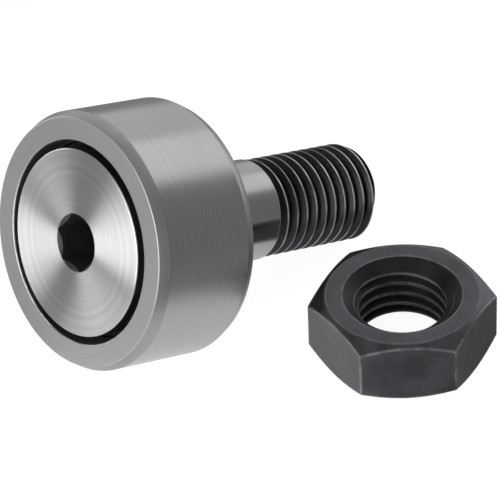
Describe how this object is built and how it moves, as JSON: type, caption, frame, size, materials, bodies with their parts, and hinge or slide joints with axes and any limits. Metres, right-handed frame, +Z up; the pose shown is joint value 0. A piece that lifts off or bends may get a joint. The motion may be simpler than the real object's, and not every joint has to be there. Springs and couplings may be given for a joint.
{
  "type": "cam follower",
  "caption": "Stud-type needle roller cam follower: a hard steel ring that turns on a threaded stud with a hex-socket flange, with its loose hex nut beside it.",
  "frame": {"origin": "centre of the mounting shoulder (the side plate's outer face) on the stud's axis", "axes": "+Z up from the surface that the follower and its nut lie on, and along the nut's axis; the stud's threaded end points to +Y and 18.04 degrees below level, because the follower rests on its rear rim and the stud's end; +X completes the right-handed frame"},
  "size_m": [0.0476, 0.0455, 0.0321],
  "materials": {
    "ground_steel": "ground and face-turned bearing steel, satin",
    "plain_steel": "plain turned steel",
    "needle_steel": "lapped, bright",
    "cage_steel": "pressed sheet steel, dull",
    "seal_rubber": "moulded nitrile rubber, matte",
    "black_oxide": "black oxide on machined steel, satin"
  },
  "bodies": {
    "stud": {"stud": "ground_steel", "side_plate": "ground_steel", "grease_plug": "plain_steel"},
    "outer_ring": {"outer_ring": "ground_steel", "front_seal": "seal_rubber", "rear_seal": "seal_rubber"},
    "needle_cage": {"needle_cage": "cage_steel"},
    "needle_01": {"needle_01": "needle_steel"},
    "needle_02": {"needle_02": "needle_steel"},
    "needle_03": {"needle_03": "needle_steel"},
    "needle_04": {"needle_04": "needle_steel"},
    "needle_05": {"needle_05": "needle_steel"},
    "needle_06": {"needle_06": "needle_steel"},
    "needle_07": {"needle_07": "needle_steel"},
    "needle_08": {"needle_08": "needle_steel"},
    "needle_09": {"needle_09": "needle_steel"},
    "needle_10": {"needle_10": "needle_steel"},
    "needle_11": {"needle_11": "needle_steel"},
    "needle_12": {"needle_12": "needle_steel"},
    "needle_13": {"needle_13": "needle_steel"},
    "needle_14": {"needle_14": "needle_steel"},
    "nut": {"nut": "black_oxide"}
  },
  "joints": [
    {"name": "ring_spin", "type": "hinge", "parent": "stud", "child": "outer_ring", "pos_m": [0, -0.00723, 0.00235], "axis": [0, 0.9509, -0.3096], "continuous": true},
    {"name": "cage_spin", "type": "hinge", "parent": "stud", "child": "needle_cage", "pos_m": [0, -0.00723, 0.00235], "axis": [0, 0.9509, -0.3096], "continuous": true},
    {"name": "needle_01_spin", "type": "hinge", "parent": "needle_cage", "child": "needle_01", "pos_m": [0, -0.00451, 0.01069], "axis": [0, 0.9509, -0.3096], "continuous": true},
    {"name": "needle_02_spin", "type": "hinge", "parent": "needle_cage", "child": "needle_02", "pos_m": [0.00381, -0.00478, 0.00987], "axis": [0, 0.9509, -0.3096], "continuous": true},
    {"name": "needle_03_spin", "type": "hinge", "parent": "needle_cage", "child": "needle_03", "pos_m": [0.00686, -0.00553, 0.00755], "axis": [0, 0.9509, -0.3096], "continuous": true},
    {"name": "needle_04_spin", "type": "hinge", "parent": "needle_cage", "child": "needle_04", "pos_m": [0.00855, -0.00662, 0.00421], "axis": [0, 0.9509, -0.3096], "continuous": true},
    {"name": "needle_05_spin", "type": "hinge", "parent": "needle_cage", "child": "needle_05", "pos_m": [0.00855, -0.00783, 0.0005], "axis": [0, 0.9509, -0.3096], "continuous": true},
    {"name": "needle_06_spin", "type": "hinge", "parent": "needle_cage", "child": "needle_06", "pos_m": [0.00686, -0.00892, -0.00285], "axis": [0, 0.9509, -0.3096], "continuous": true},
    {"name": "needle_07_spin", "type": "hinge", "parent": "needle_cage", "child": "needle_07", "pos_m": [0.00381, -0.00967, -0.00516], "axis": [0, 0.9509, -0.3096], "continuous": true},
    {"name": "needle_08_spin", "type": "hinge", "parent": "needle_cage", "child": "needle_08", "pos_m": [0, -0.00994, -0.00599], "axis": [0, 0.9509, -0.3096], "continuous": true},
    {"name": "needle_09_spin", "type": "hinge", "parent": "needle_cage", "child": "needle_09", "pos_m": [-0.00381, -0.00967, -0.00516], "axis": [0, 0.9509, -0.3096], "continuous": true},
    {"name": "needle_10_spin", "type": "hinge", "parent": "needle_cage", "child": "needle_10", "pos_m": [-0.00686, -0.00892, -0.00285], "axis": [0, 0.9509, -0.3096], "continuous": true},
    {"name": "needle_11_spin", "type": "hinge", "parent": "needle_cage", "child": "needle_11", "pos_m": [-0.00855, -0.00783, 0.0005], "axis": [0, 0.9509, -0.3096], "continuous": true},
    {"name": "needle_12_spin", "type": "hinge", "parent": "needle_cage", "child": "needle_12", "pos_m": [-0.00855, -0.00662, 0.00421], "axis": [0, 0.9509, -0.3096], "continuous": true},
    {"name": "needle_13_spin", "type": "hinge", "parent": "needle_cage", "child": "needle_13", "pos_m": [-0.00686, -0.00553, 0.00755], "axis": [0, 0.9509, -0.3096], "continuous": true},
    {"name": "needle_14_spin", "type": "hinge", "parent": "needle_cage", "child": "needle_14", "pos_m": [-0.00381, -0.00478, 0.00987], "axis": [0, 0.9509, -0.3096], "continuous": true},
    {"name": "nut_lift", "type": "slide", "parent": "stud", "child": "nut", "axis": [0, 0, 1], "range_m": [0, 0.03]}
  ],
  "couplings": [
    {"joint": "cage_spin", "follows": "ring_spin", "ratio": 0.57241},
    {"joint": "needle_01_spin", "follows": "ring_spin", "ratio": 3.4344},
    {"joint": "needle_02_spin", "follows": "ring_spin", "ratio": 3.4344},
    {"joint": "needle_03_spin", "follows": "ring_spin", "ratio": 3.4344},
    {"joint": "needle_04_spin", "follows": "ring_spin", "ratio": 3.4344},
    {"joint": "needle_05_spin", "follows": "ring_spin", "ratio": 3.4344},
    {"joint": "needle_06_spin", "follows": "ring_spin", "ratio": 3.4344},
    {"joint": "needle_07_spin", "follows": "ring_spin", "ratio": 3.4344},
    {"joint": "needle_08_spin", "follows": "ring_spin", "ratio": 3.4344},
    {"joint": "needle_09_spin", "follows": "ring_spin", "ratio": 3.4344},
    {"joint": "needle_10_spin", "follows": "ring_spin", "ratio": 3.4344},
    {"joint": "needle_11_spin", "follows": "ring_spin", "ratio": 3.4344},
    {"joint": "needle_12_spin", "follows": "ring_spin", "ratio": 3.4344},
    {"joint": "needle_13_spin", "follows": "ring_spin", "ratio": 3.4344},
    {"joint": "needle_14_spin", "follows": "ring_spin", "ratio": 3.4344}
  ]
}
